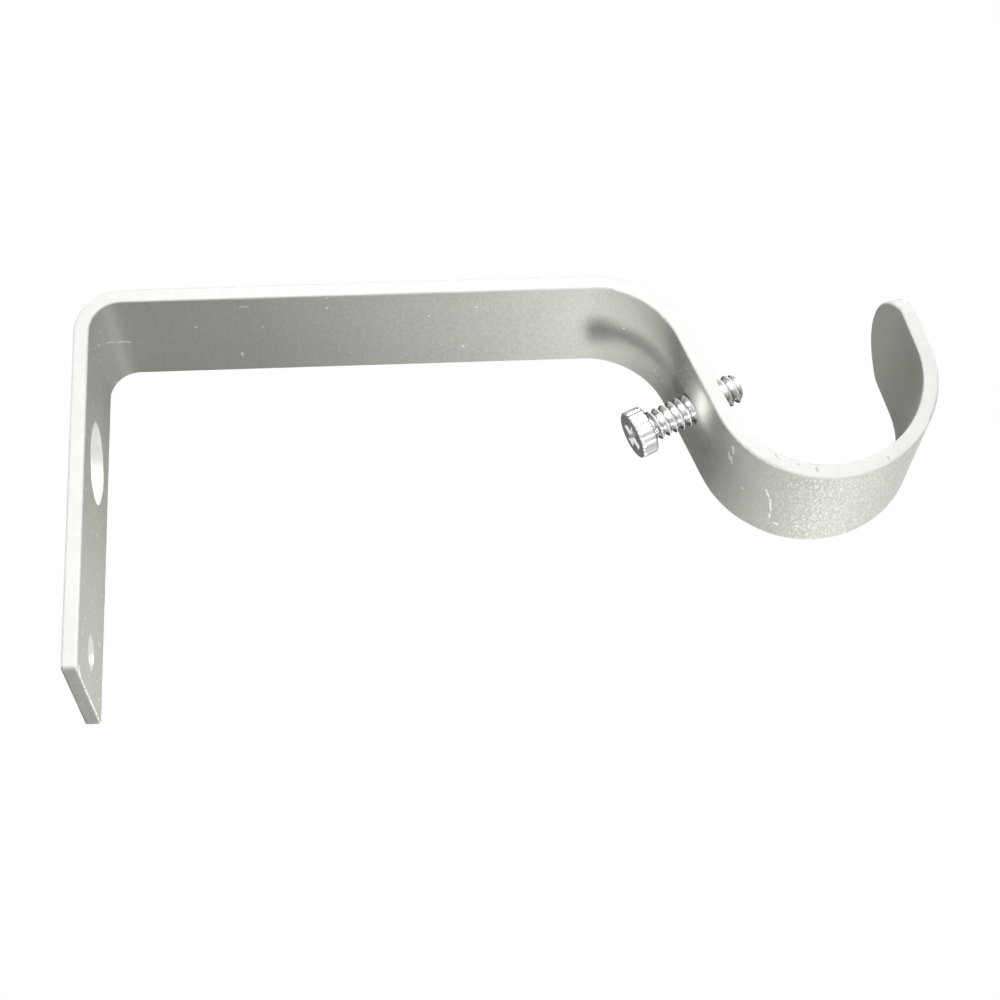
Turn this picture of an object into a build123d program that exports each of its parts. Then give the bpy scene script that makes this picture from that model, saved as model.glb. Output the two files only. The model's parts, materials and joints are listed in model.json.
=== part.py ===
"""Curtain pole bracket: a bent steel strip with a knurled clamp screw.

The frame is the bracket's own, as it hangs on a wall: +X points out from the wall, +Z is up and Y runs along
the pole. The origin is the centre of the upper fixing hole, on the wall side of the leg. Lengths are in
millimetres and angles in degrees.
"""

import os
from math import cos, radians, sin

from build123d import *

# The flat strip
strip_width = 20.0
strip_thickness = 2.0
edge_rounding = 0.3

# The leg that stands on the wall
upper_hole_diameter = 10.8
lower_hole_diameter = 4.5
hole_spacing = 26.1
hole_to_leg_end = 5.95
hole_to_arm_top = 20.25
leg_end_slant = 1.7
leg_corner_radius = 0.5

# The arm, measured along the strip from the wall outwards; bend radii are on the inside of each bend
corner_radius = 4.0
arm_run = 61.0
bend_radius = 11.6
neck_slope = 69.0
neck_run = 12.0

# The cup and its tongue
pole_diameter = 25.0
pole_clearance = 0.5
tongue_lean = 14.5
tongue_edge_run = 5.5
tongue_rise = 5.2
tongue_corner_radius = 2.0

# The clamp screw
screw_diameter = 4.2
screw_length = 13.7
screw_clearance = 0.05
screw_lean = 3.9
head_diameter = 6.5
head_height = 2.3
head_standoff = 6.45
head_chamfer = 0.3
tip_chamfer = 0.6
groove_count = 24
groove_radius = 0.14
recess_span = 3.6
recess_wing = 0.9
recess_depth = 1.2
recess_taper = 8.0

# Sizes that follow from those above
corner_outside = corner_radius + strip_thickness
bend_outside = bend_radius + strip_thickness
cup_radius = pole_diameter / 2 + pole_clearance
cup_sweep = neck_slope + 90 + tongue_lean
leg_end = -(hole_spacing + hole_to_leg_end)
tongue_run = tongue_edge_run + tongue_rise
tongue_trim = strip_thickness
leg_trim = strip_width / 2
screw_angle = 90 - neck_slope + screw_lean

os.makedirs("parts", exist_ok=True)

# The bent strip: its wall, top and cup face is drawn as one line, and the metal lies to the right of it
with BuildPart() as bracket_strip:
    with BuildSketch(Plane.XZ):
        with BuildLine():
            leg = Line((0, leg_end - leg_trim), (0, hole_to_arm_top - corner_outside))
            corner = JernArc(leg @ 1, leg % 1, corner_outside, -90)
            arm = PolarLine(corner @ 1, arm_run, direction=corner % 1)
            bend = JernArc(arm @ 1, arm % 1, bend_outside, -neck_slope)
            neck = PolarLine(bend @ 1, neck_run, direction=bend % 1)
            cup = JernArc(neck @ 1, neck % 1, cup_radius, cup_sweep)
            tongue = PolarLine(cup @ 1, tongue_run + tongue_trim, direction=cup % 1)
            offset(amount=strip_thickness, side=Side.RIGHT)
        make_face()
    extrude(amount=strip_width / 2, both=True)

    # The end of the leg, sheared a little out of square
    upward = (0, sin(radians(leg_end_slant)), cos(radians(leg_end_slant)))
    split(bisect_by=Plane((0, 0, leg_end), x_dir=(1, 0, 0), z_dir=upward), keep=Keep.TOP)

    # The rounded end of the tongue, cut across its width
    tongue_direction = Plane.XZ.from_local_coords(tongue % 1)
    tongue_top = Plane.XZ.from_local_coords(cup @ 1) + tongue_direction * tongue_run
    tongue_face = Plane(tongue_top, x_dir=(0, 1, 0), z_dir=Vector(0, 1, 0).cross(tongue_direction))
    with BuildSketch(tongue_face):
        with BuildLine():
            end_arc = ThreePointArc(
                (-strip_width / 2, -tongue_rise), (0, 0), (strip_width / 2, -tongue_rise)
            )
            Polyline(
                end_arc @ 1,
                (strip_width / 2, tongue_trim),
                (-strip_width / 2, tongue_trim),
                end_arc @ 0,
            )
        make_face()
    extrude(amount=strip_thickness, mode=Mode.SUBTRACT)

    # Corners in the flat, then one small rounding that runs on round the whole outline
    fillet(bracket_strip.edges().filter_by(Axis.X).sort_by(Axis.Z)[:2], leg_corner_radius)
    through_tongue = bracket_strip.edges().filter_by(Axis(tongue_top, tongue_face.z_dir))
    fillet(through_tongue, tongue_corner_radius)
    fillet(bracket_strip.edges().filter_by(Axis.X).group_by(SortBy.LENGTH)[-1], edge_rounding)

    # Fixing holes through the leg
    leg_face = Plane((strip_thickness, 0, 0), x_dir=(0, 1, 0), z_dir=(1, 0, 0))
    with Locations(leg_face):
        Hole(upper_hole_diameter / 2, depth=strip_thickness)
        with Locations((0, -hole_spacing)):
            Hole(lower_hole_diameter / 2, depth=strip_thickness)

    # Hole for the clamp screw, through the middle of the neck
    neck_inward = Vector(cos(radians(90 - neck_slope)), 0, sin(radians(90 - neck_slope)))
    neck_middle = Plane.XZ.from_local_coords(neck @ 0.5) - neck_inward * strip_thickness
    screw_axis = Vector(cos(radians(screw_angle)), 0, sin(radians(screw_angle)))
    screw_plane = Plane(neck_middle, x_dir=(0, 1, 0), z_dir=screw_axis)
    with BuildSketch(screw_plane):
        Circle(screw_diameter / 2 + screw_clearance)
    extrude(amount=2 * strip_thickness, both=True, mode=Mode.SUBTRACT)

bracket_strip.part.label = "bracket_strip"
export_step(bracket_strip.part, "parts/bracket_strip.step")

# The clamp screw, turned about its own axis: head outside the neck, point in the cup
head_seat = screw_plane.offset(-head_standoff)
with BuildPart() as clamp_screw:
    with BuildSketch(head_seat):
        Circle(screw_diameter / 2)
    extrude(amount=screw_length)
    chamfer(clamp_screw.edges().sort_by(Axis(neck_middle, screw_axis))[-1], tip_chamfer)
    with BuildSketch(head_seat):
        Circle(head_diameter / 2)
    extrude(amount=-head_height)
    head_rims = clamp_screw.edges().filter_by(GeomType.CIRCLE).group_by(SortBy.RADIUS)[-1]
    chamfer(head_rims, head_chamfer)

    # Straight grooves round the head for the fingers
    with BuildSketch(head_seat):
        with PolarLocations(head_diameter / 2, groove_count):
            Circle(groove_radius)
    extrude(amount=-head_height, mode=Mode.SUBTRACT)

    # Tapered cross recess for a screwdriver
    with BuildSketch(head_seat.offset(-head_height)):
        Rectangle(recess_span, recess_wing)
        Rectangle(recess_wing, recess_span)
    extrude(amount=recess_depth, taper=recess_taper, mode=Mode.SUBTRACT)

clamp_screw.part.label = "clamp_screw"
export_step(clamp_screw.part, "parts/clamp_screw.step")
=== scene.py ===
import json
from math import cos, floor, pi, radians, sin

import bmesh
import bpy
from mathutils import Matrix, Vector


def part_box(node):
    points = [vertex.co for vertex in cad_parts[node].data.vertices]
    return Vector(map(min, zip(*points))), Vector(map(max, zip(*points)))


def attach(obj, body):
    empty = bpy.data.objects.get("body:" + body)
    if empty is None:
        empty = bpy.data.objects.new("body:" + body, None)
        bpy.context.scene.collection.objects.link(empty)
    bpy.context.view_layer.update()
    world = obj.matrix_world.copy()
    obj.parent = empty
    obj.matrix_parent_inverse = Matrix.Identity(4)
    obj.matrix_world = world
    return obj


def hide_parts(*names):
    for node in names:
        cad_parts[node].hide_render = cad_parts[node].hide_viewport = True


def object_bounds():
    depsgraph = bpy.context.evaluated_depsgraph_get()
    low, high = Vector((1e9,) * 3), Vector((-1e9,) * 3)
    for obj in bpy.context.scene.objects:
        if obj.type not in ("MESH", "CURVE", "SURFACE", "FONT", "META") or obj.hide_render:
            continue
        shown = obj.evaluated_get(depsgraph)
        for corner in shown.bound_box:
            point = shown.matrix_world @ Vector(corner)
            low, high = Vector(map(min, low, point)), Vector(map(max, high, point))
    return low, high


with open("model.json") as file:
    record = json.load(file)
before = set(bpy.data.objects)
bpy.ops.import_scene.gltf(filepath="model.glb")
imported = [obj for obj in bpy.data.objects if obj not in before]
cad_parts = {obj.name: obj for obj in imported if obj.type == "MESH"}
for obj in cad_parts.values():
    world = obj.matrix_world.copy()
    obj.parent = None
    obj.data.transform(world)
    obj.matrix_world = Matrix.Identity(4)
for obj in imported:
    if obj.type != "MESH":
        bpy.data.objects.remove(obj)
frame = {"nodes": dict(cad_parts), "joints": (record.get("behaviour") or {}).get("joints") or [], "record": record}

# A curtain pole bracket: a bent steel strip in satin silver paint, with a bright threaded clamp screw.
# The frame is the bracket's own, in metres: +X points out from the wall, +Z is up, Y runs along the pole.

CAD_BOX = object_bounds()
MM = 0.001
HALF = (0.5, 0.5, 0.5)
CREASE_ANGLE = radians(28)
GREEN_SHARE = 0.15
EVEN_DETAIL = 2.0
MOTTLED_DETAIL = 3.0


def grey(level, warmth=0.0):
    """A neutral colour in linear light; warmth takes blue out and leaves a faint green."""
    return (level, level * (1 + warmth * GREEN_SHARE), level * (1 - warmth), 1.0)


# The camera, at the photograph's viewing angle
FRAME_PIXELS = 1000
FOCAL_PIXELS = 2205.8
SENSOR_WIDTH = 36.0
NEAR_CLIP = 0.01
CAMERA_PLACE = Vector((44.66, -262.23, -121.96)) * MM
CAMERA_YAW = radians(-2.10)
CAMERA_PITCH = radians(23.65)
CAMERA_ROLL = radians(2.75)

# The strip, read from the frame: half its width, and the height and radius of each fixing hole
STRIP_LOW, STRIP_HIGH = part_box("bracket_strip")
HALF_WIDTH = (STRIP_HIGH.y - STRIP_LOW.y) / 2
BORES = [
    (mount["pos_m"][2], mount["dims"]["r_mm"] * MM)
    for mount in frame["record"]["mounts"]
    if mount["kind"] == "bore"
]

# The rounding along the strip's edges, as in the part's source
EDGE_ROUNDING = 0.3 * MM

# The screw: its head, from the outer face inwards
HEAD_RADIUS = 3.25 * MM
HEAD_HEIGHT = 2.3 * MM
HEAD_RIM = 0.3 * MM
GROOVES = 24
GROOVE_DEPTH = 0.14 * MM
GROOVE_SHARE = 0.36

# The screw: its shank
THREAD_RADIUS = 2.1 * MM
THREAD_DEPTH = 0.50 * MM
THREAD_PITCH = 1.06 * MM
THREAD_START = 0.10 * MM
THREAD_RUN_IN = 0.45 * MM
CREST_SHARE = 0.12
ROOT_SHARE = 0.14
ROOT_RADIUS = THREAD_RADIUS - THREAD_DEPTH
SEAT_FLARE = 0.15 * MM
NECK_FLARE = 0.04 * MM
NECK_LENGTH = 0.05 * MM
PLAIN_LENGTH = 0.15 * MM
TIP_CHAMFER = 0.6 * MM
TIP_RADIUS = THREAD_RADIUS - TIP_CHAMFER

# The screw: how finely its skin is divided, with the rings on its two flat ends as shares of their radius
SKIN_TURNS = 8 * GROOVES
FACE_RINGS = (0.6, 0.8, 0.92, 0.99)
RIM_STEPS = 4
SIDE_STEPS = 6
PITCH_STEPS = 18
TIP_RING = 0.6

# The cross recess in the head, as crosses one below the other: span, wing and depth, then its point
RECESS_DEPTH = 1.2 * MM
RECESS_POINT = 1.3 * RECESS_DEPTH
RECESS_CROSSES = [
    (4.10 * MM, 1.30 * MM, -0.05 * MM),
    (3.55 * MM, 0.90 * MM, 0.25 * MM),
    (2.40 * MM, 0.60 * MM, RECESS_DEPTH),
]

# The silver coat: colours
COAT_DARK = grey(0.36, 0.08)
COAT_LIGHT = grey(0.67, 0.08)
EDGE_DARK = grey(0.51, 0.03)
EDGE_LIGHT = grey(0.58, 0.03)
# Painted glint: pale flecks on the hook's downward faces
PAINTED_GLINT = grey(0.90, 0.03)
# Painted light: a near-white colour on the walls of the fixing holes
BORE_PAINTED_LIGHT = grey(0.88, 0.03)
CHIPPED = grey(0.95, 0.03)
STAINED = grey(0.20, 0.05)

# The silver coat: where each zone of the strip starts and where it is full
CUT_EDGE = (HALF_WIDTH - 1.6 * EDGE_ROUNDING, HALF_WIDTH - 0.2 * EDGE_ROUNDING)
PAST_LEG = (3 * MM, 4 * MM)
LEG_FRONT = (0.8 * MM, 1.6 * MM)
PAST_CORNER = (4 * MM, 9 * MM)
CORNER_HEIGHT = (11 * MM, 15 * MM)
CUP_REACH = (86 * MM, 97 * MM)
FACING_DOWN = (0.5, 0.9)
BORE_LIP = 0.05 * MM

# The silver coat: its metal flake and mottling
FLAKE_SIZE = 0.15 * MM
FLAKE_STRETCH = (1.0, 0.35, 1.0)
FLAKE_SPREAD = 0.12
# Painted glint: on the hook's downward faces the flakes lean more, their tone spreads wider and pale flecks are
# drawn
GLINT_ZONE_SPREAD = 0.24
PAINTED_GLINT_DRAW = (0.72, 0.95)
PAINTED_GLINT_STRENGTH = 0.4
MOTTLE_SIZE = 9 * MM
MOTTLE_SPREAD = 0.16
EDGE_MOTTLE_SIZE = 1.5 * MM

# The silver coat: its skin
PEEL_SIZE = 0.9 * MM
PEEL_DEPTH = 0.01 * MM
COAT_GLOSS = 0.12
COAT_METAL = 0.03
BORE_METAL = 0.8
COAT_ROUGHNESS = 0.46
MOTTLE_ROUGHNESS = 0.10
CHIP_ROUGHNESS = 0.15

# The silver coat: dust nibs, as the size of the cells that hold them and the share of cells that do;
# a nib's core and rim are shares of its cell
STRIP_NIBS = (2.2 * MM, 0.30)
LEG_NIBS = (1.6 * MM, 0.88)
CORNER_NIBS = (1.1 * MM, 0.90)
NIB_RADIUS = (0.06, 0.11)
NIB_FADE = 0.02

# The silver coat: how the marks below waver and break up, with their core and rim as shares of their width
WAVER_SIZE = 0.5 * MM
WAVER_REACH = 0.30 * MM
BREAK_SIZE = 0.7 * MM
BREAK_RANGE = (0.32, 0.48)
MARK_CORE = 0.25
MARK_RIM = 0.6
STAIN_STRENGTH = 0.5

# Scratches, chips and stains that show on the strip, in millimetres: start, end, width
LIGHT_MARKS = [
    ((3.0, -1.6, 16.95), (4.3, 0.1, 17.85), 0.25),
    ((4.3, 0.1, 17.85), (5.8, 0.9, 18.25), 0.35),
    ((20.4, 4.9, 18.25), (20.4, 5.7, 18.25), 0.45),
    ((21.2, -7.9, 18.25), (22.3, -7.9, 18.25), 0.25),
    ((2.0, 6.9, -22.45), (2.0, 6.9, -22.75), 0.45),
    ((2.0, -2.3, 11.05), (2.0, -2.2, 10.75), 0.30),
    ((2.0, -1.2, -7.45), (2.0, -1.2, -7.75), 0.35),
    ((2.0, -2.3, -10.35), (2.0, -2.2, -10.55), 0.35),
    ((2.0, 3.2, -12.25), (2.0, 3.2, -12.45), 0.30),
    ((2.0, -9.7, -31.72), (2.0, 9.6, -32.29), 0.30),
    ((2.0, -9.3, -31.20), (2.0, -7.0, -31.55), 0.40),
    ((2.0, -8.6, -30.60), (2.0, -8.0, -30.95), 0.30),
    ((76.2, 5.0, 13.65), (76.6, 5.4, 13.05), 0.25),
    ((77.2, 5.0, 12.15), (77.3, 5.0, 11.95), 0.35),
    ((84.1, -7.4, -3.95), (84.3, -5.9, -4.15), 0.50),
    ((84.1, -4.6, -4.05), (84.4, -3.3, -4.35), 0.35),
    ((83.8, -5.2, -3.65), (84.1, -3.6, -3.95), 0.32),
    ((86.0, 0.8, -6.15), (86.1, 0.9, -6.15), 0.45),
    ((88.6, -2.5, -7.95), (89.4, -0.2, -8.45), 0.28),
    ((89.4, -0.2, -8.45), (89.8, 2.6, -8.65), 0.34),
    ((89.8, 2.6, -8.65), (89.9, 5.2, -8.65), 0.28),
    ((90.7, 6.2, -8.95), (91.5, 6.2, -9.25), 0.45),
]
DARK_MARKS = [
    ((89.0, -10.0, -6.45), (89.4, -9.8, -7.05), 0.30),
    ((91.7, -10.0, -7.85), (91.8, -9.8, -8.35), 0.30),
    ((94.0, -10.0, -8.45), (94.1, -9.7, -9.65), 0.40),
    ((103.2, -10.0, -7.25), (103.3, -9.8, -7.75), 0.30),
]

# The zinc plate: colours
ZINC_DARK = grey(0.74)
ZINC_LIGHT = grey(0.86)
# Painted shade, darker in the thread's roots
ROOT_PAINTED_SHADE = grey(0.10)
WORN_CREST = grey(0.62)
STRUCK_FACE = grey(0.66)
EDGE_TINT = grey(0.1)

# The zinc plate: where each zone of the screw starts and where it is full
PAST_FACE = (0.02 * MM, 0.06 * MM)
PAST_HEAD = (HEAD_HEIGHT, HEAD_HEIGHT + 0.1 * MM)
PAST_ROOT = (ROOT_RADIUS, ROOT_RADIUS + 0.25 * THREAD_DEPTH)
ON_CREST = (THREAD_RADIUS - 0.06 * MM, THREAD_RADIUS - 0.02 * MM)

# The zinc plate: its skin
CLOUD_SIZE = 0.8 * MM
FINE_SIZE = 0.12 * MM
FINE_SHARE = 0.3
ZINC_DEPTH = 0.008 * MM
ROOT_SHADE_STRENGTH = 0.28
FACE_STRENGTH = 0.5
CREST_DULLNESS = 0.75
ZINC_ROUGHNESS = 0.20
CLOUD_ROUGHNESS = 0.10
FACE_ROUGHNESS = 0.22
SHANK_ROUGHNESS = 0.03
CREST_ROUGHNESS = 0.20

# The stage: a pale floor, a dark card and the white world
FLOOR_LEVEL = -0.35
FLOOR_SIZE = 8.0
FLOOR_DARK = grey(0.80)
FLOOR_LIGHT = grey(0.83)
FLOOR_GRAIN = 4 * MM
FLOOR_ROUGHNESS = 0.85
FLOOR_FADE = (0.5, 2.0)
FLOOR_WHITE = 0.7
CARD_PLACE = (-0.20, 0.50, 0.26)
CARD_WIDTH = 0.90
CARD_HEIGHT = 1.18
CARD_DARK = grey(0.05)
CARD_LIGHT = grey(0.08)
CARD_NAP = 3 * MM
CARD_ROUGHNESS = 0.9
WORLD_LEVEL = 0.05
WHITE = grey(1.0)

# The lamps: name, place, aim, width, height, spread in degrees, watts
MIDDLE = (CAD_BOX[0] + CAD_BOX[1]) / 2
CUP = Vector((0.085, 0, 0.010))
BEND = Vector((0.0725, 0, 0.018))
NECK = Vector((0.0808, -0.0055, 0.0030))
LEG_FOOT = Vector((0.002, 0, -0.034))
TONGUE = Vector((0.108, 0, 0.008))
UNDER_RIGHT = (0.161, -0.024, -0.298)
LAMPS = [
    ("front_low", (0.02, -0.60, -0.28), MIDDLE, 0.40, 0.40, 60, 0.105),
    ("front_high", (0.02, -0.50, 0.27), MIDDLE, 0.26, 0.26, 42, 0.370),
    ("front_right", (0.30, -0.60, 0.05), MIDDLE, 0.40, 0.40, 60, 0.14),
    ("under_key", UNDER_RIGHT, CUP, 0.15, 0.05, 28, 0.0250),
    ("under_key_narrow", UNDER_RIGHT, CUP, 0.15, 0.05, 18, 0.0125),
    ("leg_spot", (0.18, -0.05, -0.14), LEG_FOOT, 0.05, 0.05, 22, 0.0105),
    ("left_high", (-0.50, 0.0, 0.17), MIDDLE, 0.16, 0.16, 40, 0.062),
    ("right_high", (0.50, 0.0, 0.40), TONGUE, 0.04, 0.04, 10, 0.012),
    ("bend_fill", (0.0735, 0.0, 0.008), BEND, 0.004, 0.004, 160, 0.00014),
    ("neck_fill", (0.0787, -0.0055, 0.0022), NECK, 0.006, 0.001, 160, 0.00012),
    ("rear_low", (0.20, 0.45, -0.185), CUP, 0.20, 0.20, 24, 0.025),
]
REAR_LAMP = ("rear_soft", (0.09, 0.60, 0.0), MIDDLE, 0.16, 0.16, 60, 0.13)


class Value:
    """A socket's value in a finish. Arithmetic on it adds Math nodes."""

    def __init__(self, finish, socket):
        self.finish = finish
        self.socket = socket

    def math(self, operation, *numbers, clamp=False):
        settings = {"operation": operation, "use_clamp": clamp}
        return self.finish.add("ShaderNodeMath", settings, dict(enumerate((self, *numbers))))

    def __add__(self, other):
        return self.math("ADD", other)

    __radd__ = __add__

    def __mul__(self, other):
        return self.math("MULTIPLY", other)

    __rmul__ = __mul__

    def __sub__(self, other):
        return self.math("SUBTRACT", other)

    def __rsub__(self, other):
        return (self * -1.0) + other

    def __pow__(self, other):
        return self.math("POWER", other)

    def __abs__(self):
        return self.math("ABSOLUTE")

    def at_least(self, other):
        return self.math("MAXIMUM", other)

    def rise(self, low, high):
        """0 at low and below, 1 at high and above, with a smooth slope between."""
        sockets = {"Value": self, "From Min": low, "From Max": high}
        return self.finish.add("ShaderNodeMapRange", {"interpolation_type": "SMOOTHSTEP"}, sockets)


class Finish:
    """The nodes of a material or of the world."""

    def __init__(self, owner):
        self.owner = owner
        owner.use_nodes = True
        self.tree = owner.node_tree
        self.tree.nodes.clear()

    def add(self, kind, settings=None, sockets=None, out=0):
        """Adds a node with its settings, then its sockets' values or links, and gives one output."""
        node = self.tree.nodes.new(kind)
        for name, setting in (settings or {}).items():
            setattr(node, name, setting)
        for name, value in (sockets or {}).items():
            socket = self.find(node.inputs, name)
            if isinstance(value, Value):
                self.tree.links.new(value.socket, socket)
            else:
                socket.default_value = value
        return Value(self, self.find(node.outputs, out)) if node.outputs else None

    def find(self, sockets, name):
        if isinstance(name, int):
            return sockets[name]
        return next(socket for socket in sockets if socket.name == name and socket.enabled)

    def place(self):
        return self.add("ShaderNodeTexCoord", out="Object")

    def noise(self, place, size, detail=EVEN_DETAIL, out="Fac"):
        sockets = {"Vector": place, "Scale": 1 / size, "Detail": detail}
        return self.add("ShaderNodeTexNoise", None, sockets, out)

    def cells(self, place, size, out="Distance"):
        return self.add("ShaderNodeTexVoronoi", None, {"Vector": place, "Scale": 1 / size}, out)

    def vector(self, operation, *vectors, out="Vector"):
        return self.add("ShaderNodeVectorMath", {"operation": operation}, dict(enumerate(vectors)), out)

    def scaled(self, vector, scale):
        return self.add("ShaderNodeVectorMath", {"operation": "SCALE"}, {0: vector, "Scale": scale})

    def parts(self, vector):
        split = self.add("ShaderNodeSeparateXYZ", None, {0: vector})
        return [Value(self, socket) for socket in split.socket.node.outputs]

    def mix(self, share, first, second):
        sockets = {"Factor": share, "A": first, "B": second}
        return self.add("ShaderNodeMix", {"data_type": "RGBA"}, sockets, "Result")

    def bump(self, height, distance, normal=None):
        sockets = {"Height": height, "Distance": distance, "Strength": 1.0}
        if normal is not None:
            sockets["Normal"] = normal
        return self.add("ShaderNodeBump", None, sockets)

    def stroke(self, place, start, end, width):
        """1 along a straight mark from start to end, fading out from its core to its rim."""
        run = end - start
        offset = self.vector("SUBTRACT", place, start)
        along = self.vector("DOT_PRODUCT", offset, run / run.length_squared, out="Value")
        nearest = self.scaled(run, along.math("ADD", 0.0, clamp=True))
        distance = self.vector("DISTANCE", offset, nearest, out="Value")
        return 1 - distance.rise(width * MARK_CORE, width * MARK_RIM)

    def shown(self):
        """1 to the camera, in reflections and through clear surfaces, and 0 as light on other things."""
        path = self.add("ShaderNodeLightPath").socket.node.outputs
        seen = Value(self, path["Is Camera Ray"])
        for ray in ("Is Glossy Ray", "Is Transmission Ray"):
            seen = seen.at_least(Value(self, path[ray]))
        return seen

    def surface(self, **sockets):
        """Ends a material in one Principled shader; a socket's name has _ for each space."""
        named = {name.replace("_", " "): value for name, value in sockets.items()}
        shader = self.add("ShaderNodeBsdfPrincipled", None, named)
        self.add("ShaderNodeOutputMaterial", None, {"Surface": shader})
        return self.owner


def new_finish(name):
    return Finish(bpy.data.materials.new(name))


def marks(finish, place, rows):
    """One mask with every mark in rows."""
    mask = 0.0
    for start, end, width in rows:
        line = finish.stroke(place, Vector(start) * MM, Vector(end) * MM, width * MM)
        mask = line.at_least(mask)
    return mask


def nibs(finish, place, size, share):
    """Specks of dust caught in the paint, in this share of cells of this size."""
    speck = 1 - finish.cells(place, size).rise(*NIB_RADIUS)
    draw = finish.parts(finish.cells(place, size, "Color"))[0]
    return speck * (draw - (1 - share)).rise(0.0, NIB_FADE)


def bore_walls(x, y, z):
    """1 on the walls of the fixing holes."""
    mask = 0.0
    for height, radius in BORES:
        out = (y * y + (z - height) ** 2) ** 0.5
        mask = (1 - out.rise(radius, radius + BORE_LIP)).at_least(mask)
    return mask * (1 - x.rise(*PAST_LEG))


def silver_coat():
    """Satin silver paint: metal flake, mottling, dust nibs, scuffs, painted glints on the hook's downward faces,
    and painted light on the walls of the fixing holes.
    """
    coat = new_finish("silver_coat")
    place = coat.place()
    waver = coat.vector("SUBTRACT", coat.noise(place, WAVER_SIZE, out="Color"), HALF)
    wandering = coat.vector("ADD", place, coat.scaled(waver, WAVER_REACH))
    chips = marks(coat, wandering, LIGHT_MARKS) * coat.noise(place, BREAK_SIZE).rise(*BREAK_RANGE)
    stains = marks(coat, wandering, DARK_MARKS)

    x, y, z = coat.parts(place)
    edge = abs(y).rise(*CUT_EDGE)
    flat = 1 - edge
    bore = bore_walls(x, y, z)

    leg = x.rise(*LEG_FRONT) * (1 - x.rise(*PAST_CORNER))
    stretched = coat.vector("MULTIPLY", place, FLAKE_STRETCH)
    nib = nibs(coat, place, *STRIP_NIBS).at_least(nibs(coat, stretched, *LEG_NIBS) * leg)
    nib = nib.at_least(nibs(coat, stretched, *CORNER_NIBS) * leg * z.rise(*CORNER_HEIGHT)) * flat
    chips = chips.at_least(nib)

    facing = coat.add("ShaderNodeNewGeometry", out="Normal")
    # painted glint: the hook's downward faces get more flake lean, a wider spread of flake tone and pale flecks
    glint_zone = x.rise(*CUP_REACH) * flat * (coat.parts(facing)[2] * -1).rise(*FACING_DOWN)
    flake = coat.cells(stretched, FLAKE_SIZE, "Color")
    draw = coat.parts(flake)[0]
    mottle = coat.noise(place, MOTTLE_SIZE, MOTTLED_DETAIL)
    edge_mottle = coat.noise(place, EDGE_MOTTLE_SIZE, MOTTLED_DETAIL)
    spread = flat * FLAKE_SPREAD + glint_zone * GLINT_ZONE_SPREAD
    tone = (mottle - 0.5) * MOTTLE_SPREAD + (draw - 0.5) * spread + 0.5
    paint = coat.mix(tone, COAT_DARK, COAT_LIGHT)
    paint = coat.mix(draw.rise(*PAINTED_GLINT_DRAW) * glint_zone * PAINTED_GLINT_STRENGTH, paint, PAINTED_GLINT)
    paint = coat.mix(edge, paint, coat.mix(edge_mottle, EDGE_DARK, EDGE_LIGHT))
    # painted light: the walls of the fixing holes are coloured near white
    paint = coat.mix(bore, paint, BORE_PAINTED_LIGHT)
    paint = coat.mix(chips, paint, CHIPPED)
    paint = coat.mix(stains * STAIN_STRENGTH, paint, STAINED)

    lean = coat.scaled(coat.vector("SUBTRACT", flake, HALF), spread)
    flaked = coat.vector("NORMALIZE", coat.vector("ADD", facing, lean))
    return coat.surface(
        Base_Color=paint,
        Metallic=COAT_METAL + bore * BORE_METAL,
        Specular_IOR_Level=COAT_GLOSS,
        Roughness=COAT_ROUGHNESS + (mottle - 0.5) * MOTTLE_ROUGHNESS + chips * CHIP_ROUGHNESS,
        Normal=coat.bump(coat.noise(place, PEEL_SIZE), PEEL_DEPTH, flaked),
    )


def bright_zinc():
    """Bright zinc plate: shiny, a little uneven, with painted shade in the thread's roots, dull on the struck end
    face and the thread's crest.
    """
    zinc = new_finish("bright_zinc")
    place = zinc.place()
    x, y, along = zinc.parts(place)
    radius = (x * x + y * y) ** 0.5
    cloud = zinc.noise(place, CLOUD_SIZE, MOTTLED_DETAIL)
    fine = zinc.noise(place, FINE_SIZE)
    end_face = 1 - along.rise(*PAST_FACE)
    shank = along.rise(*PAST_HEAD)
    root = (1 - radius.rise(*PAST_ROOT)) * shank
    crest = radius.rise(*ON_CREST) * shank

    plate = zinc.mix(cloud, ZINC_DARK, ZINC_LIGHT)
    # painted shade: the thread's roots are darkened
    plate = zinc.mix(root * ROOT_SHADE_STRENGTH, plate, ROOT_PAINTED_SHADE)
    plate = zinc.mix(crest, plate, WORN_CREST)
    plate = zinc.mix(end_face * FACE_STRENGTH, plate, STRUCK_FACE)
    roughness = ZINC_ROUGHNESS + cloud * CLOUD_ROUGHNESS + end_face * FACE_ROUGHNESS
    return zinc.surface(
        Base_Color=plate,
        Metallic=1 - crest * CREST_DULLNESS,
        Specular_Tint=EDGE_TINT,
        Roughness=roughness + shank * SHANK_ROUGHNESS + crest * CREST_ROUGHNESS,
        Normal=zinc.bump(fine * FINE_SHARE + cloud, ZINC_DEPTH),
    )


def pale_floor():
    """A plain pale floor that keeps the shadow and runs out into the white background."""
    floor_finish = new_finish("pale_floor")
    place = floor_finish.place()
    x, y, _ = floor_finish.parts(place)
    far = ((x * x + y * y) ** 0.5).rise(*FLOOR_FADE)
    tone = floor_finish.mix(floor_finish.noise(place, FLOOR_GRAIN), FLOOR_DARK, FLOOR_LIGHT)
    sockets = {"Base Color": tone, "Roughness": FLOOR_ROUGHNESS}
    paper = floor_finish.add("ShaderNodeBsdfPrincipled", None, sockets)
    white = floor_finish.add("ShaderNodeEmission", None, {"Color": WHITE})
    share = floor_finish.shown() * (FLOOR_WHITE + (1 - FLOOR_WHITE) * far)
    surface = floor_finish.add("ShaderNodeMixShader", None, {0: share, 1: paper, 2: white})
    floor_finish.add("ShaderNodeOutputMaterial", None, {"Surface": surface})
    return floor_finish.owner


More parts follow.
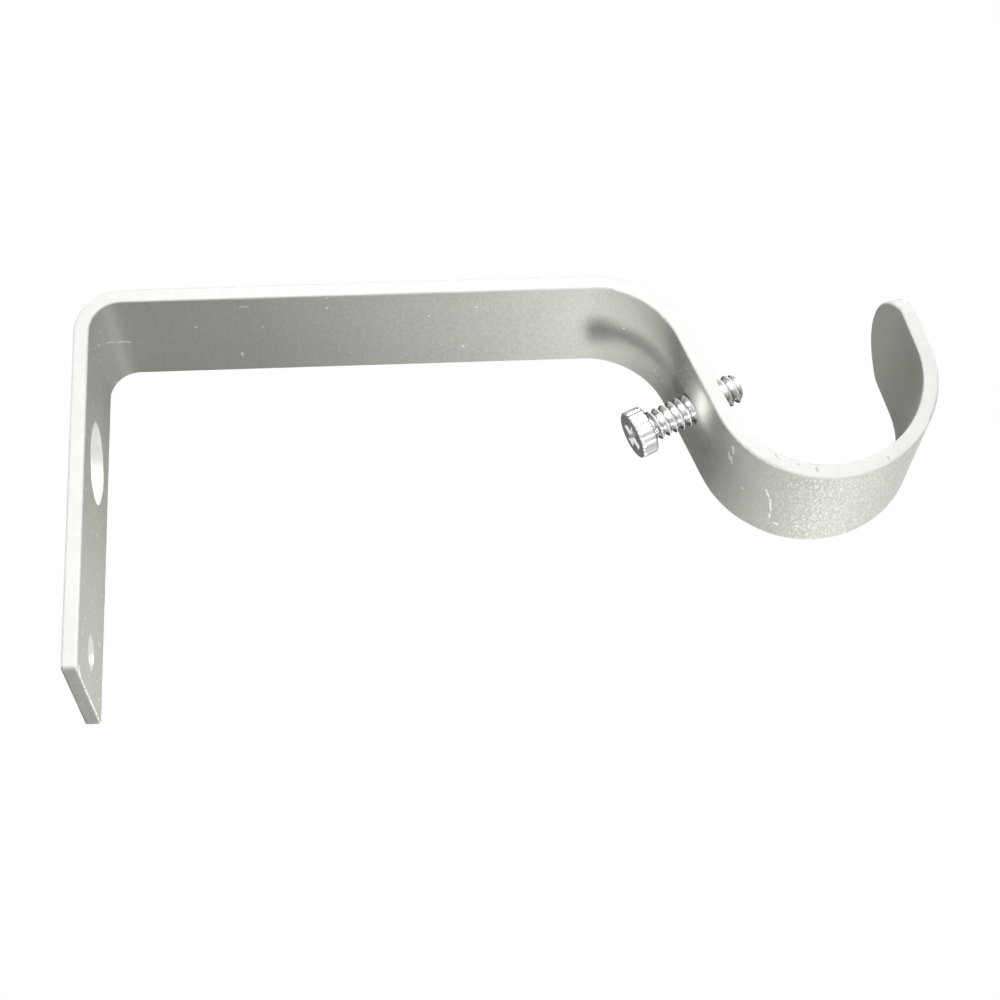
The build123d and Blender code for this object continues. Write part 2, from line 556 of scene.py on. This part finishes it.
def dark_cloth():
    cloth = new_finish("dark_card")
    nap = cloth.noise(cloth.place(), CARD_NAP)
    return cloth.surface(Base_Color=cloth.mix(nap, CARD_DARK, CARD_LIGHT), Roughness=CARD_ROUGHNESS)


def white_world():
    """White to the camera and in reflections; an even soft light on everything else."""
    world = bpy.data.worlds.new("white_room")
    bpy.context.scene.world = world
    room = Finish(world)
    strength = room.shown() * (1 - WORLD_LEVEL) + WORLD_LEVEL
    light = room.add("ShaderNodeBackground", None, {"Color": WHITE, "Strength": strength})
    room.add("ShaderNodeOutputWorld", None, {"Surface": light})


def mesh_piece(name, points, faces, material):
    """A new object from points and faces, smooth but for its creases."""
    mesh = bpy.data.meshes.new(name)
    mesh.from_pydata(points, [], faces)
    mesh.validate()
    mesh.shade_smooth()
    mesh.set_sharp_from_angle(angle=CREASE_ANGLE)
    piece = bpy.data.objects.new(name, mesh)
    bpy.context.scene.collection.objects.link(piece)
    if material:
        mesh.materials.append(material)
    return piece


def screw_frame():
    """The screw's own frame and length from its solid: origin in the head's end face, +Z to the point."""
    axis = Vector(frame["joints"][0]["axis"]).normalized()
    side = Vector((0, 1, 0))
    up = axis.cross(side)
    corners = [v.co for v in frame["nodes"]["clamp_screw"].data.vertices]

    def middle(direction):
        reach = [corner.dot(direction) for corner in corners]
        return (min(reach) + max(reach)) / 2

    reach = [corner.dot(axis) for corner in corners]
    origin = axis * min(reach) + side * middle(side) + up * middle(up)
    turn = Matrix((side, up, axis)).transposed().to_4x4()
    return Matrix.Translation(origin) @ turn, max(reach) - min(reach)


def groove(turn):
    """How deep the head's side is grooved at this share of a turn."""
    share = abs((turn * GROOVES) % 1 - 0.5) / (GROOVE_SHARE / 2)
    return GROOVE_DEPTH * max(0.0, 1 - share * share)


def thread(turn, along):
    """The thread's height over its root, at this share of a turn and this far along the shank."""
    phase = (along / THREAD_PITCH - turn) % 1
    from_crest = abs(phase - 0.5) * 2
    flank = (1 - ROOT_SHARE - from_crest) / (1 - ROOT_SHARE - CREST_SHARE)
    fade_in = min(1.0, max(0.0, (along - THREAD_START) / THREAD_RUN_IN))
    return THREAD_DEPTH * min(1.0, max(0.0, flank)) * fade_in


def screw_rings(length):
    """The screw's rings of (radius, place along the axis), from the head's end face to the point."""
    shank = length - HEAD_HEIGHT
    rings = []

    def plain(radius, along):
        rings.append([(radius, along)] * SKIN_TURNS)

    def grooved(radius, along, share):
        rings.append([(radius - groove(i / SKIN_TURNS) * share, along) for i in range(SKIN_TURNS)])

    for share in FACE_RINGS:
        plain(share * (HEAD_RADIUS - HEAD_RIM), 0.0)
    for step in range(RIM_STEPS + 1):
        angle = step / RIM_STEPS * pi / 2
        grooved(HEAD_RADIUS - HEAD_RIM * (1 - sin(angle)), HEAD_RIM * (1 - cos(angle)), step / RIM_STEPS)
    for step in range(1, SIDE_STEPS + 1):
        grooved(HEAD_RADIUS, HEAD_RIM + step / SIDE_STEPS * (HEAD_HEIGHT - 2 * HEAD_RIM), 1.0)
    for step in range(1, RIM_STEPS + 1):
        angle = step / RIM_STEPS * pi / 2
        grooved(
            HEAD_RADIUS - HEAD_RIM * (1 - cos(angle)),
            HEAD_HEIGHT - HEAD_RIM * (1 - sin(angle)),
            1 - step / RIM_STEPS,
        )
    plain(ROOT_RADIUS + SEAT_FLARE, HEAD_HEIGHT)
    plain(ROOT_RADIUS + NECK_FLARE, HEAD_HEIGHT + NECK_LENGTH)

    steps = floor(shank / THREAD_PITCH * PITCH_STEPS)
    for step in range(1, steps + 1):
        along = PLAIN_LENGTH + (shank - PLAIN_LENGTH) * step / steps
        limit = TIP_RADIUS + (shank - along)
        heights = [thread(i / SKIN_TURNS, along) for i in range(SKIN_TURNS)]
        rings.append([(min(ROOT_RADIUS + height, limit), HEAD_HEIGHT + along) for height in heights])
    plain(TIP_RADIUS * TIP_RING, length)
    return rings


def clamp_screw(length, material):
    """The screw as one turned skin: face, rim, grooved side, seat, threaded shank and point."""
    rings = screw_rings(length)
    points = [(0, 0, 0)]
    for ring in rings:
        for i, (radius, along) in enumerate(ring):
            angle = 2 * pi * i / SKIN_TURNS
            points.append((radius * cos(angle), radius * sin(angle), along))
    points.append((0, 0, length))

    tip = len(points) - 1
    last_ring = tip - SKIN_TURNS
    faces = []
    for i in range(SKIN_TURNS):
        following = (i + 1) % SKIN_TURNS
        faces.append((0, 1 + following, 1 + i))
        for low in range(1, last_ring, SKIN_TURNS):
            high = low + SKIN_TURNS
            faces.append((low + i, low + following, high + following, high + i))
        faces.append((last_ring + i, last_ring + following, tip))
    return mesh_piece("clamp_screw_threaded", points, faces, material)


def cross(span, wing, along):
    """The corners of a cross with arms of this span and width, this far along the axis."""
    s, w = span / 2, wing / 2
    points = []
    for quarter in range(4):
        c, n = round(cos(quarter * pi / 2)), round(sin(quarter * pi / 2))
        points += [(x * c - y * n, x * n + y * c, along) for x, y in [(s, -w), (s, w), (w, w)]]
    return points


def recess_cutter():
    """The solid that the cross recess is cut with: crosses one below the other, down to a point."""
    points = [point for row in RECESS_CROSSES for point in cross(*row)]
    count = len(points) // len(RECESS_CROSSES)
    lowest = len(points) - count
    tip = len(points)
    points.append((0, 0, RECESS_POINT))
    faces = [tuple(reversed(range(count)))]
    for i in range(count):
        following = (i + 1) % count
        for low in range(0, lowest, count):
            high = low + count
            faces.append((low + i, low + following, high + following, high + i))
        faces.append((lowest + i, lowest + following, tip))
    cutter = mesh_piece("recess_cutter", points, faces, None)
    shape = bmesh.new()
    shape.from_mesh(cutter.data)
    bmesh.ops.recalc_face_normals(shape, faces=shape.faces)
    shape.to_mesh(cutter.data)
    shape.free()
    return cutter


def cut_recess(screw):
    """Cuts the tapered cross for a screwdriver into the head's end face."""
    cutter = recess_cutter()
    cut = screw.modifiers.new("cross_recess", "BOOLEAN")
    cut.operation = "DIFFERENCE"
    cut.solver = "EXACT"
    cut.object = cutter
    graph = bpy.context.evaluated_depsgraph_get()
    done = bpy.data.meshes.new_from_object(screw.evaluated_get(graph))
    screw.modifiers.clear()
    screw.data = done
    done.set_sharp_from_angle(angle=CREASE_ANGLE)
    bpy.data.objects.remove(cutter)


def place_camera():
    lens = bpy.data.cameras.new("camera")
    lens.sensor_width = SENSOR_WIDTH
    lens.lens = SENSOR_WIDTH * FOCAL_PIXELS / FRAME_PIXELS
    lens.clip_start = NEAR_CLIP
    camera = bpy.data.objects.new("camera", lens)
    bpy.context.scene.collection.objects.link(camera)
    turn = (
        Matrix.Rotation(CAMERA_YAW, 4, "Z")
        @ Matrix.Rotation(pi / 2 + CAMERA_PITCH, 4, "X")
        @ Matrix.Rotation(-CAMERA_ROLL, 4, "Z")
    )
    camera.matrix_world = Matrix.Translation(CAMERA_PLACE) @ turn
    bpy.context.scene.camera = camera


def lamp(name, place, aim, width, height, spread, watts):
    """A soft flat lamp that faces the point it aims at."""
    light = bpy.data.lights.new(name, "AREA")
    light.shape = "RECTANGLE"
    light.size = width
    light.size_y = height
    light.spread = radians(spread)
    light.energy = watts
    fitting = bpy.data.objects.new(name, light)
    fitting.visible_camera = False
    bpy.context.scene.collection.objects.link(fitting)
    fitting.location = place
    fitting.rotation_mode = "QUATERNION"
    fitting.rotation_quaternion = (aim - Vector(place)).to_track_quat("-Z", "Y")
    return fitting


def plane(name, place, facing, width, height, material):
    """A flat sheet of the stage that faces a direction."""
    w, h = width / 2, height / 2
    corners = [(-w, -h, 0), (w, -h, 0), (w, h, 0), (-w, h, 0)]
    sheet = mesh_piece(name, corners, [(0, 1, 2, 3)], material)
    sheet.location = place
    sheet.rotation_mode = "QUATERNION"
    sheet.rotation_quaternion = Vector(facing).to_track_quat("Z", "Y")
    return sheet


# The object
strip = frame["nodes"]["bracket_strip"]
strip.data.materials.clear()
strip.data.materials.append(silver_coat())

screw_matrix, screw_length = screw_frame()
screw = clamp_screw(screw_length, bright_zinc())
cut_recess(screw)
screw.matrix_world = screw_matrix
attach(screw, "screw")
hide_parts("clamp_screw")

# The stage; only reflections see the dark card, and no reflection shows the rear lamp
plane("floor", (0, 0, FLOOR_LEVEL), (0, 0, 1), FLOOR_SIZE, FLOOR_SIZE, pale_floor())
card = plane("dark_card", CARD_PLACE, (0, -1, 0), CARD_WIDTH, CARD_HEIGHT, dark_cloth())
card.visible_camera = False
card.visible_diffuse = False
card.visible_shadow = False
white_world()
for row in LAMPS:
    lamp(*row)
lamp(*REAR_LAMP).visible_glossy = False
place_camera()
bpy.context.scene.view_settings.view_transform = "Standard"

bpy.context.view_layer.update()
